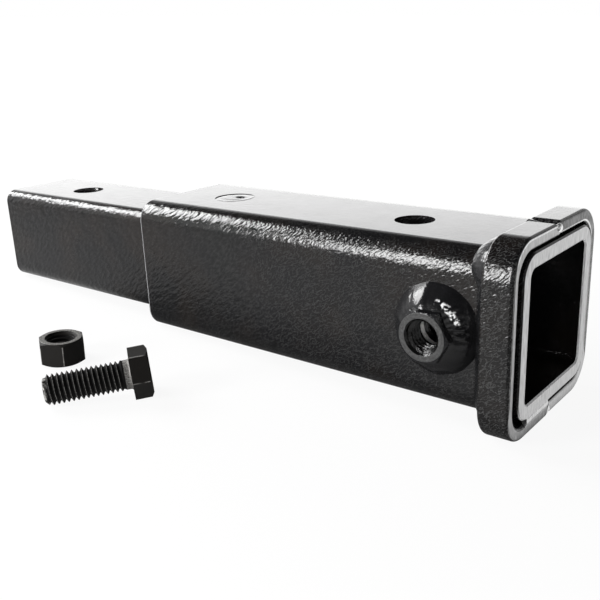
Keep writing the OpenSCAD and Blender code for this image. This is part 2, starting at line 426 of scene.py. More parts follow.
@dataclass(frozen=True)
class GroundFace:
    """A sawn and ground end face, where the steel shows through the paint.

    Heights are over a square bar's outline. The steel lies between from_height and to_height,
    each given at the foot, at the sides and at the top. Its grey from the foot to the top is painted
    light and shade. Above a given z another line of it runs at a given height, as a painted
    highlight with its own shade and metal.
    """

    start_x: float
    half: float
    corner: float
    from_height: tuple[float, float, float]
    to_height: tuple[float, float, float]
    highlight_height: float
    highlight_half: float
    painted_light_stops: tuple[tuple[float, float], ...]
    drop: float = 0.0
    depth: float = 0.12 * MM
    low_z: float = -38 * MM
    high_z: float = 38 * MM
    highlight_shade: float = 1.0
    highlight_from_z: float = 20 * MM
    metal: float = 0.9
    highlight_metal: float = 0.9
    roughness: float = 0.34

    @staticmethod
    def by_height(z: Sock, values: tuple[float, float, float]) -> Sock:
        """Blends three values over the face.

        Args:
            z: Height over the bar's axis.
            values: The value at the foot, at the sides and at the top.

        Returns:
            The value at that height.
        """
        foot, side, top = values
        to_top = z.rise(24 * MM, 33 * MM) * (top - side)
        to_foot = z.rise(-20 * MM, -32 * MM) * (foot - side)
        return to_top + to_foot + side

    def mask(self, graph: Graph, place: Sock) -> tuple[Sock, Sock]:
        """Finds the bare steel.

        Args:
            graph: The graph to build in.
            place: Where to read it.

        Returns:
            Masks of the bare steel and of its painted highlight line.
        """
        x, _, z = graph.split(place)
        height = graph.over_square(place, self.half, self.corner, self.drop)
        soft = 0.12 * MM
        bare = (x - self.start_x + self.depth).rise(-0.05 * MM, 0)
        bare = bare * (height - self.by_height(z, self.from_height)).rise(-soft, soft)
        bare = bare * (self.by_height(z, self.to_height) - height).rise(-soft, soft)
        # The line is a painted highlight along the face.
        line = (height - self.highlight_height).size().rise(self.highlight_half + soft, self.highlight_half - soft)
        return bare, bare * line * z.rise(self.highlight_from_z, self.highlight_from_z + 6 * MM)

    def shade(self, graph: Graph, place: Sock, line: Sock) -> Sock:
        """Colours the steel with painted light and shade from the foot of the face to its top.

        Over it go a painted highlight line, painted glints and the lines of the saw.

        Args:
            graph: The graph to build in.
            place: Where to read it.
            line: Mask of the painted highlight line on the steel.

        Returns:
            The colour.
        """
        _, _, z = graph.split(place)
        share = (z - self.low_z) / (self.high_z - self.low_z)
        # Painted light and shade: the steel's grey is set by height.
        face = graph.node("ShaderNodeValToRGB", {"stops": list(self.painted_light_stops)}, {"Fac": share})
        steel = graph.blend(line, face, (self.highlight_shade,) * 3)
        lines = graph.cloud(place, 0.5 * MM, 2, (1, 1, 12)).rise(0.4, 0.65)
        glints = graph.cloud(place, 0.4 * MM, 2, (1, 1, 8)).rise(0.52, 0.64)
        steel = graph.blend(lines * 0.4, steel, (0.10, 0.10, 0.105))
        return graph.blend(glints * 0.35, steel, (0.7, 0.7, 0.7))


@dataclass(frozen=True)
class DrilledHole:
    """A hole along Y that was drilled after the tube was painted inside, with walls bright for a short way
    in: bare steel, brightened as a painted highlight.
    """

    x: float
    r: float
    from_y: float
    to_y: float
    colour: Colour = (0.9, 0.89, 0.87)
    roughness: float = 0.4
    metal: float = 0.3

    def mask(self, graph: Graph, place: Sock) -> Sock:
        """Finds the hole's wall.

        Args:
            graph: The graph to build in.
            place: Where to read it.

        Returns:
            The mask of the wall.
        """
        x, y, z = graph.split(place)
        off = x - self.x
        soft = 0.1 * MM
        inside = off.span(z).rise(self.r + soft, self.r + 0.03 * MM)
        return inside * y.rise(self.from_y, self.from_y + soft) * y.rise(self.to_y, self.to_y - soft)


@dataclass(frozen=True)
class PowderCoat:
    """Glossy black powder coat with an orange peel, which is broader and deeper far from the mouth."""

    name: str
    colour: Colour = (0.0055, 0.0055, 0.006)
    warm: Colour = (0.010, 0.008, 0.007)
    roughness: float = 0.15
    peel_size: float = 1.15 * MM
    peel_depth: float = 0.27 * MM
    sheen_shade: float = 0.028
    lean: float = math.radians(35)
    far_x: float = -150 * MM
    near_x: float = 30 * MM
    far_depth: float = 1.9
    far_size: float = 1.85
    top_z: float | None = None
    top_peel: float = 0.12
    ground: GroundFace | None = None
    hole: DrilledHole | None = None
    round_end: float | None = None
    round_width: float = 1.3 * MM
    round_slope: float = 2.2
    edge_highlight_colour: Colour = (0.2, 0.2, 0.205)
    edge_highlight_band: tuple[float, float] = (1.3 * MM, 0.9 * MM)

    def peel(self, graph: Graph, place: Sock, near_mouth: Sock) -> Sock:
        """Draws the leaning waves of the orange peel.

        Args:
            graph: The graph to build in.
            place: Where to read it.
            near_mouth: 0 far from the mouth and 1 near it.

        Returns:
            The height of the peel, from 0 to 1.
        """
        turned = graph.node("ShaderNodeMapping", inputs={"Vector": place, "Rotation": (0, self.lean, 0)})
        stretch = (2.0, 1, 0.75)
        broad = graph.cloud(turned, self.peel_size * self.far_size, 1.5, stretch)
        return broad + (graph.cloud(turned, self.peel_size, 1.5, stretch) - broad) * near_mouth

    def peel_sheen(self, graph: Graph, place: Sock, peel: Sock) -> Sock:
        """Finds the pale lines half-way up the waves, outside the socket: painted sheen on the peel.

        Args:
            graph: The graph to build in.
            place: Where to read it.
            peel: The height of the peel.

        Returns:
            The mask of the lines.
        """
        lines = (peel - 0.5).size().rise(0.05, 0)
        if self.ground is None:
            return lines
        return lines * graph.over_square(place, self.ground.half, self.ground.corner).rise(-2 * MM, -1 * MM)

    def build(self) -> bpy.types.Material:
        """Makes the material.

        Returns:
            The material.
        """
        material, graph = new_graph(self.name)
        place = graph.place()
        x, _, z = graph.split(place)
        near_mouth = x.rise(self.far_x, self.near_x)
        depth = near_mouth * (1 - self.far_depth) + self.far_depth
        if self.top_z is not None:
            depth = depth * (1 - z.rise(self.top_z - 2 * MM, self.top_z - 0.2 * MM) * (1 - self.top_peel))
        peel = self.peel(graph, place, near_mouth)
        grain = graph.cloud(place, self.peel_size / 5, 1)
        mottle = graph.cloud(place, 30 * MM, 3).rise(0.4, 0.7)
        # Painted sheen on the peel, fainter far from the mouth.
        peel_sheen = self.peel_sheen(graph, place, peel) * (near_mouth * 0.8 + 0.2)
        colour = graph.blend(peel_sheen, graph.blend(mottle, self.colour, self.warm), (self.sheen_shade,) * 3)
        height = peel * depth + grain * 0.02
        rough = graph.cloud(place, 9 * MM, 2) * 0.10 + (self.roughness - 0.05)
        metal: Sock | float = 0.0
        if self.ground is not None:
            bare, line = self.ground.mask(graph, place)
            colour = graph.blend(bare, colour, self.ground.shade(graph, place, line))
            rough = rough * (1 - bare) + bare * self.ground.roughness
            height = height * (1 - bare)
            metal = bare * self.ground.metal - line * (self.ground.metal - self.ground.highlight_metal)
        if self.hole is not None:
            wall = self.hole.mask(graph, place)
            # The hole's wall: bare steel, brightened as a painted highlight.
            colour = graph.blend(wall, colour, self.hole.colour)
            rough = rough * (1 - wall) + wall * self.hole.roughness
            metal = wall * self.hole.metal + metal
        if self.round_end is not None:
            from_end = x - self.round_end
            # A pale band along the cut end is a painted highlight on its rounded edge.
            colour = graph.blend(from_end.rise(*self.edge_highlight_band), colour, self.edge_highlight_colour)
            near_end = from_end.rise(self.round_width, 0)
            height = height - near_end * near_end * self.round_slope
        graph.surface(
            Base_Color=colour,
            Roughness=rough,
            Metallic=metal,
            Normal=graph.bump(height, self.peel_depth),
            Specular_IOR_Level=0.5,
        )
        return material


@dataclass(frozen=True)
class WeldPaint:
    """The same powder coat where it lies thick and smooth over weld metal.

    The metal is bare past bare_from along X. White spots on a short arc of beads about the Z of
    the frame beads are painted highlights.
    """

    name: str
    colour: Colour = (0.006, 0.006, 0.0065)
    roughness: float = 0.10
    grain_size: float = 1.1 * MM
    grain_depth: float = 0.08 * MM
    bare_from: float | None = None
    # Colour of the bare metal, and of the painted highlights on the beads.
    bare_and_glint_colour: Colour = (1.0, 1.0, 1.0)
    bare_roughness: float = 0.3
    bare_metal: float = 0.9
    beads: Matrix | None = None

    def painted_bead_glints(self, graph: Graph, place: Sock) -> Sock:
        """Finds the white spots painted as highlights on the arc of beads.

        Args:
            graph: The graph to build in.
            place: Where to read the spots.

        Returns:
            The mask of the spots.
        """
        across, up, _ = graph.split(graph.place(self.beads))
        radius = across.span(up)
        ring = radius.rise(11.6 * MM, 12.2 * MM) * radius.rise(14.2 * MM, 13.3 * MM)
        quarter = across.rise(2 * MM, 3.5 * MM) * up.rise(4.5 * MM, 6 * MM)
        return ring * quarter * graph.cloud(place, 1.4 * MM, 1).rise(0.46, 0.6)

    def build(self) -> bpy.types.Material:
        """Makes the material.

        Returns:
            The material.
        """
        material, graph = new_graph(self.name)
        place = graph.place()
        grain = graph.cloud(place, self.grain_size, 2)
        lighter = tuple(c * 1.8 for c in self.colour)
        colour = graph.blend(graph.cloud(place, 6 * MM, 2), self.colour, lighter)
        rough = grain * 0.1 + self.roughness
        metal: Sock | float = 0.0
        if self.bare_from is not None:
            x, _, _ = graph.split(place)
            bare = x.rise(self.bare_from - 0.1 * MM, self.bare_from)
            colour = graph.blend(bare, colour, self.bare_and_glint_colour)
            rough = rough * (1 - bare) + bare * self.bare_roughness
            metal = bare * self.bare_metal
        if self.beads is not None:
            # White spots on the beads' arc are painted highlights.
            colour = graph.blend(self.painted_bead_glints(graph, place), colour, self.bare_and_glint_colour)
        graph.surface(
            Base_Color=colour,
            Roughness=rough,
            Metallic=metal,
            Normal=graph.bump(grain, self.grain_depth),
        )
        return material


@dataclass(frozen=True)
class NutPaint:
    """Thin paint on the side nut: dull and mottled on its face, darker in its bore as painted shade.

    The piece's own frame has Z along its bore.
    """

    name: str
    frame: Matrix
    colour: Colour = (0.008, 0.008, 0.009)
    face_colour: Colour = (0.064, 0.064, 0.064)
    roughness: float = 0.10

    def build(self) -> bpy.types.Material:
        """Makes the material.

        Returns:
            The material.
        """
        material, graph = new_graph(self.name)
        place = graph.place(self.frame)
        x, y, z = graph.split(place)
        radius = x.span(y)
        face = z.rise(SIZES.nut_height - 0.12 * MM, SIZES.nut_height - 0.04 * MM)
        bore = radius.rise(SIZES.nut_mouth_r, SIZES.nut_mouth_r - 0.15 * MM)
        mottle = graph.cloud(place, 0.8 * MM, 3).rise(0.3, 0.7)
        dull = graph.blend(mottle, tuple(c * 0.35 for c in self.face_colour), self.face_colour)
        colour = graph.blend(face, self.colour, dull)
        # Painted shade: the bore is darker than the paint outside it.
        colour = graph.blend(bore, colour, (0.003, 0.003, 0.003))
        graph.surface(
            Base_Color=colour,
            Roughness=face * 0.3 + self.roughness + bore * 0.1,
            Normal=graph.bump(graph.cloud(place, 1.0 * MM, 2), 0.2 * MM),
        )
        return material


@dataclass(frozen=True)
class BlackOxide:
    """Semi-matte black oxide on a steel fastener, worn lighter where it is handled.

    A bolt's neck is lighter as a painted highlight, and the grooves of the thread are near black as
    painted shade. The piece's own frame has Z along its bore or shaft.
    """

    name: str
    frame: Matrix
    corner_r: float
    face_low: float
    face_high: float
    colour: Colour = (0.012, 0.011, 0.010)
    worn: Colour = (0.48, 0.47, 0.45)
    thread_r: float = 6.4 * MM
    crest_r: float | None = None

    def build(self) -> bpy.types.Material:
        """Makes the material.

        Returns:
            The material.
        """
        material, graph = new_graph(self.name)
        place = graph.place(self.frame)
        x, y, z = graph.split(place)
        radius = x.span(y)
        speckle = graph.cloud(place, 0.5 * MM, 3)
        patches = graph.cloud(place, 3 * MM, 3)
        fine = graph.cloud(place, 0.25 * MM, 2).rise(0.35, 0.65)
        corners = radius.rise(self.corner_r - 0.22 * MM, self.corner_r - 0.02 * MM)
        high = z.rise(self.face_high - 0.10 * MM, self.face_high - 0.02 * MM)
        low = z.rise(self.face_low + 0.10 * MM, self.face_low + 0.02 * MM)
        wear_and_sheen = corners * patches.rise(0.35, 0.6) * 0.8
        if self.crest_r is None:
            wear_and_sheen = wear_and_sheen.most(high.most(low) * (fine * 0.35 + 0.4))
            groove = radius.rise(self.thread_r, self.thread_r - 0.4 * MM)
        else:
            shaft = radius.rise(self.crest_r + 0.4 * MM, self.crest_r + 0.3 * MM)
            crest = radius.rise(self.crest_r - 0.07 * MM, self.crest_r - 0.01 * MM) * shaft
            tip = z.rise(SIZES.bolt_length - 2.2 * MM, SIZES.bolt_length - 0.6 * MM)
            # The neck's pale band is a painted highlight, added to the wear.
            neck = shaft * z.rise(SIZES.bolt_neck + 0.2 * MM, SIZES.bolt_neck - 0.3 * MM)
            wear_and_sheen = wear_and_sheen.most(crest * (tip * 0.5 + 0.45)).most(tip * patches.rise(0.5, 0.6) * 0.9)
            wear_and_sheen = wear_and_sheen.most(neck * 0.6)
            groove = shaft * (1 - crest) * (1 - neck) * (1 - tip)
        wear_and_sheen = wear_and_sheen * speckle.rise(0.2, 0.7)
        # The thread's grooves are near black as painted shade.
        oxide = graph.blend(groove, self.colour, (0.002, 0.002, 0.002))
        graph.surface(
            Base_Color=graph.blend(wear_and_sheen, oxide, self.worn),
            Metallic=wear_and_sheen * 0.35,
            Roughness=0.5 - wear_and_sheen * 0.1 + groove * 0.3,
            Specular_IOR_Level=0.12,
            Normal=graph.bump(speckle, 0.03 * MM),
        )
        return material


# Mesh tools


def add_object(name: str, data: bpy.types.ID) -> bpy.types.Object:
    """Puts a new object in the scene.

    Args:
        name: Its name.
        data: Its mesh, lamp or camera.

    Returns:
        The object.
    """
    item = bpy.data.objects.new(name, data)
    bpy.context.scene.collection.objects.link(item)
    return item


def smooth_step(share: float) -> float:
    """A soft step from 0 to 1."""
    share = max(0.0, min(1.0, share))
    return share * share * (3 - 2 * share)


def join(bm: bmesh.types.BMesh, other: bmesh.types.BMesh) -> None:
    """Adds another shape to a shape.

    Args:
        bm: The shape that grows.
        other: The shape to add. It is freed.
    """
    carry = bpy.data.meshes.new("part")
    other.to_mesh(carry)
    other.free()
    bm.from_mesh(carry)
    bpy.data.meshes.remove(carry)


def new_piece(
    bm: bmesh.types.BMesh,
    name: str,
    material: bpy.types.Material,
    slot: Slot,
    *nodes: str,
    sharp_angle: float = 35,
) -> bpy.types.Object:
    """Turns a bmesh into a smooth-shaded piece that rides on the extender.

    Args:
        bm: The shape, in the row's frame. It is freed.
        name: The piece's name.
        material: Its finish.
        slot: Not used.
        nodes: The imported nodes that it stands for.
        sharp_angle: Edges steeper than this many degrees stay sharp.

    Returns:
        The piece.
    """
    bmesh.ops.remove_doubles(bm, verts=bm.verts, dist=WELD_GAP)
    bmesh.ops.dissolve_degenerate(bm, edges=bm.edges, dist=WELD_GAP)
    bmesh.ops.recalc_face_normals(bm, faces=bm.faces)
    for face in bm.faces:
        face.smooth = True
    for edge in bm.edges:
        edge.smooth = edge.is_manifold and edge.calc_face_angle(0) < math.radians(sharp_angle)
    open_edges = sum(not edge.is_manifold for edge in bm.edges)
    mesh = bpy.data.meshes.new(name)
    bm.to_mesh(mesh)
    bm.free()
    piece = add_object(name, mesh)
    mesh.materials.append(material)
    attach(piece, BODY)
    if nodes:
        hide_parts(*nodes)
    LOG.info("%s: %d faces, %d open edges", name, len(mesh.polygons), open_edges)
    return piece


def dress(node: str, material: bpy.types.Material) -> None:
    """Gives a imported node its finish.

    Args:
        node: The node's name.
        material: Its finish.
    """
    piece = frame["nodes"][node]
    piece.data.materials.clear()
    piece.data.materials.append(material)
    LOG.info("%s: packed solid with %s", node, material.name)


def merged_copy(node: str, to_frame: Matrix) -> bmesh.types.BMesh:
    """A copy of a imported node's mesh with its loose triangles joined.

    Args:
        node: The node's name.
        to_frame: The frame that the copy is given in.

    Returns:
        The copy.
    """
    bm = bmesh.new()
    bm.from_mesh(frame["nodes"][node].data)
    bmesh.ops.remove_doubles(bm, verts=bm.verts, dist=WELD_GAP)
    bmesh.ops.transform(bm, matrix=to_frame.inverted(), verts=bm.verts)
    return bm


def polyline(bm: bmesh.types.BMesh, points: list[Vector], closed: bool = False) -> list:
    """Draws a line of edges through a few points.

    Args:
        bm: The shape to draw in.
        points: The points, in order.
        closed: Whether the last joins the first.

    Returns:
        The new vertices and edges.
    """
    verts = [bm.verts.new(point) for point in points]
    pairs = list(zip(verts, verts[1:]))
    if closed:
        pairs.append((verts[-1], verts[0]))
    return verts + [bm.edges.new(pair) for pair in pairs]


def edges_of(items: list) -> list[bmesh.types.BMEdge]:
    """The edges among vertices, edges and faces."""
    return [item for item in items if isinstance(item, bmesh.types.BMEdge)]


def open_ring(bm: bmesh.types.BMesh, height: float) -> list[bmesh.types.BMEdge]:
    """Finds the open edges at a height.

    Args:
        bm: The shape.
        height: Their height.

    Returns:
        The edges.
    """
    return [edge for edge in bm.edges if edge.is_boundary
            and all(abs(vert.co.z - height) < NEARLY for vert in edge.verts)]


def revolve(bm: bmesh.types.BMesh, points: list[Vector], steps: int) -> None:
    """Spins a line of points a full turn about Z.

    Args:
        bm: The shape to add it to.
        points: The line.
        steps: Steps of the turn.
    """
    line = polyline(bm, points)
    bmesh.ops.spin(bm, geom=line, cent=(0, 0, 0), axis=(0, 0, 1), angle=math.tau, steps=steps,
                   use_merge=True)
    bmesh.ops.remove_doubles(bm, verts=bm.verts, dist=WELD_GAP)


def crown(leg: float, rise: float, steps: int, bulge: float = 0.12) -> list[Vector]:
    """A weld's crowned face, from its toe on one surface to its toe on the other.

    Args:
        leg: Distance of the first toe from the root.
        rise: Distance of the second toe from the root.
        steps: Steps along the face.
        bulge: How far the face stands out of a straight one, as a share.

    Returns:
        Points with x along the leg and y along the rise.
    """
    points = []
    for i in range(steps + 1):
        t = i / steps
        pull = 2 * t * (1 - t) * (0.5 + bulge)
        points.append(Vector((leg * ((1 - t) ** 2 + pull), rise * (t * t + pull), 0)))
    return points


@dataclass(frozen=True)
class Ripple:
    """The ripples and uneven edges of a weld bead."""

    pitch: float = 1.5 * MM
    depth: float = 0.05
    sag: float = 0.9 * MM
    wander: float = 0.09
    wander_size: float = 6 * MM
    seed: float = 0.0

    def swell(self, along: float, across: float) -> float:
        """How much the bead grows from its root at a place.

        Args:
            along: Distance along the bead.
            across: Share of the way over its face, from toe to toe.

        Returns:
            A factor close to 1.
        """
        bow = along + self.sag * (1 - (2 * across - 1) ** 2)
        wave = 0.5 + 0.5 * math.cos(math.tau * bow / self.pitch)
        crest = 1 - wave ** 3
        drift = noise.noise(Vector((along / self.wander_size, across * 0.7, self.seed)))
        return 1 + self.depth * (crest - 0.5) * 4 * across * (1 - across) + self.wander * drift


@dataclass(frozen=True)
class SquarePath:
    """The outline of a square bar with round corners, in the YZ plane."""

    half: float
    corner: float

    @property
    def flat(self) -> float:
        """Half of the straight part of a side."""
        return self.half - self.corner

    @property
    def length(self) -> float:
        """Length of the whole outline."""
        return 8 * self.flat + math.tau * self.corner

    def read(self, y: float, z: float) -> tuple[float, float, float, float]:
        """Finds a point's place on the outline.

        Args:
            y: The point's y.
            z: The point's z.

        Returns:
            Distance along the outline, height over it, and the y and z of the way out.
        """
        near_y = max(-self.flat, min(self.flat, y))
        near_z = max(-self.flat, min(self.flat, z))
        out_y, out_z = y - near_y, z - near_z
        far = math.hypot(out_y, out_z)
        out_y, out_z = out_y / far, out_z / far
        angle = math.atan2(out_z, out_y) % math.tau
        quarter = math.tau / 4
        run = self.corner * angle
        side = int((angle + quarter / 2) // quarter) % 4
        slide = (near_z, -near_y, -near_z, near_y)[side]
        run += 2 * self.flat * side + slide if abs(angle - side * quarter) < 1e-3 else 0
        if abs(angle - side * quarter) >= 1e-3:
            run += self.flat * (2 * int(angle // quarter) + 1)
        return run % self.length, far - self.corner, out_y, out_z


# Sub-assemblies


@dataclass(frozen=True)
class Tubes:
    """The shank and the receiver tube that it is welded into."""

    plug_d: float = 19 * MM
    plug_steps: int = 120
    plug_crown: float = 0.7 * MM
    crater_depth: float = 1.5 * MM
    crater_place: tuple[float, float] = (0.3, 0.1)
    crater_size: tuple[float, float] = (0.34, 0.22)
    swirl_pitch: float = 1.7 * MM
    swirl_depth: float = 0.06 * MM
    deep_side: float = math.radians(150)
    weld_leg: float = 6 * MM
    weld_rise: float = 5.15 * MM

    def build(self) -> None:
        """Dresses the tubes and makes the welds between them."""
        wall, bevel = SIZES.receiver_wall, SIZES.end_bevel
        # The mouth's steel is lighter towards the top as painted light and shade, with a painted highlight
        # line on its inner bevel all round.
        mouth = GroundFace(SIZES.mouth_x, SIZES.receiver_half, SIZES.receiver_corner, depth=bevel,
                           from_height=(-wall - 0.3 * MM,) * 3, to_height=(0.0, -bevel, -bevel),
                           highlight_height=bevel / 2 - wall, highlight_half=bevel / 2, highlight_from_z=-60 * MM,
                           highlight_metal=0.1, painted_light_stops=((0, 0.56), (0.3, 0.55), (1, 0.66)))
        hole = DrilledHole(SIZES.nut_x, SIZES.bolt_hole_r, -SIZES.receiver_half + 0.05 * MM,
                           2.6 * MM - SIZES.receiver_half)
        tube_paint = PowderCoat("receiver_paint", top_z=SIZES.receiver_half, ground=mouth, hole=hole,
                                round_end=SIZES.receiver_end)
        dress("receiver_tube", tube_paint.build())
        dress("shank_tube", PowderCoat("shank_paint", top_z=SIZES.shank_half).build())
        paint = WeldPaint("tube_weld_paint").build()
        Bead(SquarePath(SIZES.shank_half, SIZES.shank_corner), SIZES.receiver_end, self.weld_leg,
             self.weld_rise, Ripple(seed=3)).build("shank_weld_bead", paint, "shank_weld")
        self.plug_weld("top", End.UP, paint)
        self.plug_weld("bottom", End.DOWN, paint)

    def plug_weld(self, place: str, end: End, paint: bpy.types.Material) -> None:
        """Makes a plug weld, flush in the receiver's wall, with its ring of ripples and its crater.

        Args:
            place: Word for the side, as in the node's name.
            end: The side of the receiver.
            paint: Its finish.
        """
        node = f"plug_weld_{place}"
        low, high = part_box(node)
        r = self.plug_d / 2
        top = high.z - low.z
        rim = top - self.plug_crown
        bm = bmesh.new()
        line = [(0, 0), (r, 0), (r, rim)]
        for share in (0.98, 0.95, 0.9, 0.84, 0.77, 0.7, 0.62, 0.54):
            line.append((r * share, rim + self.plug_crown * (1 - share ** 4)))
        line += [(r * share, top) for share in (0.46, 0.38, 0.3, 0.22, 0.15, 0.08, 0)]
        revolve(bm, [Vector((x, 0, z)) for x, z in line], self.plug_steps)
        crater = Vector((self.crater_place[0] * r, self.crater_place[1] * r, top))
        long, wide = self.crater_size
        for vert in bm.verts:
            if vert.co.z < rim + NEARLY:
                continue
            flat = Vector((vert.co.x, vert.co.y, top))
            radius = flat.xy.length
            angle = math.atan2(flat.y, flat.x)
            swirl = math.cos(math.tau * (radius / self.swirl_pitch - angle / math.tau))
            vert.co.z -= self.swirl_depth * (1 - swirl) * (1 - radius / r)
            near_crater = flat - crater
            dip = max(0.0, 1 - math.hypot(near_crater.x / long, near_crater.y / wide) / r)
            vert.co.z -= self.crater_depth * dip ** 1.5
            shallow = smooth_step(0.6 - 0.6 * math.cos(angle - self.deep_side))
            vert.co.z += max(0.0, top - vert.co.z) * 0.85 * shallow * smooth_step((radius / r - 0.7) / 0.2)
        lift = SIZES.shank_half
        if end is End.DOWN:
            bmesh.ops.scale(bm, vec=(1, 1, -1), verts=bm.verts)
            lift = -lift
        bmesh.ops.translate(bm, vec=(SIZES.plug_x, 0, lift), verts=bm.verts)
        new_piece(bm, f"{node}_bead", paint, Slot.WELD, node)


@dataclass(frozen=True)
class Bead:
    """A rippled fillet weld round a square bar, on the -X side of a face."""

    path: SquarePath
    face_x: float
    leg: float
    rise: float
    ripple: Ripple
    share: Callable[[float, float], float] | None = None
    face_steps: int = 10
    ring_gap: float = 0.3 * MM

    def build(self, name: str, paint: bpy.types.Material, *nodes: str) -> bpy.types.Object:
        """Sweeps the bead round the bar and ripples it.

        Args:
            name: The piece's name.
            paint: Its finish.
            nodes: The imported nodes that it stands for.

        Returns:
            The piece.
        """
        bm = bmesh.new()
        half, flat = self.path.half, self.path.flat
        points = [Vector((self.face_x, half, -flat))]
        for point in crown(self.leg, self.rise, self.face_steps):
            points.append(Vector((self.face_x - point.x, half + point.y, -flat)))
        section = polyline(bm, points, closed=True)
        side_steps = math.ceil(2 * flat / self.ring_gap)
        corner_steps = math.ceil(math.tau / 4 * self.path.corner / self.ring_gap)
        for quarter in range(4):
            way = turn(90 * quarter, "X") @ Vector((0, 0, 1))
            centre = turn(90 * quarter, "X") @ Vector((0, flat, flat))
            swept = bmesh.ops.spin(bm, geom=section, cent=centre, axis=(1, 0, 0), angle=0,
                                   dvec=way * (2 * flat / side_steps), steps=side_steps)
            swept = bmesh.ops.spin(bm, geom=swept["geom_last"], cent=centre, axis=(1, 0, 0),
                                   angle=math.tau / 4, steps=corner_steps)
            section = swept["geom_last"]
        bmesh.ops.remove_doubles(bm, verts=bm.verts, dist=WELD_GAP)
        for vert in bm.verts:
            along, height, out_y, out_z = self.path.read(vert.co.y, vert.co.z)
            back = self.face_x - vert.co.x
            across = math.atan2(height / self.rise, back / self.leg) / (math.tau / 4)
            grow = self.ripple.swell(along, across) - 1
            leg = self.share(vert.co.y, vert.co.z) if self.share else 1.0
            vert.co += Vector((back * (1 - leg * (1 + grow)), out_y * height * grow, out_z * height * grow))
        return new_piece(bm, name, paint, Slot.WELD, *nodes)


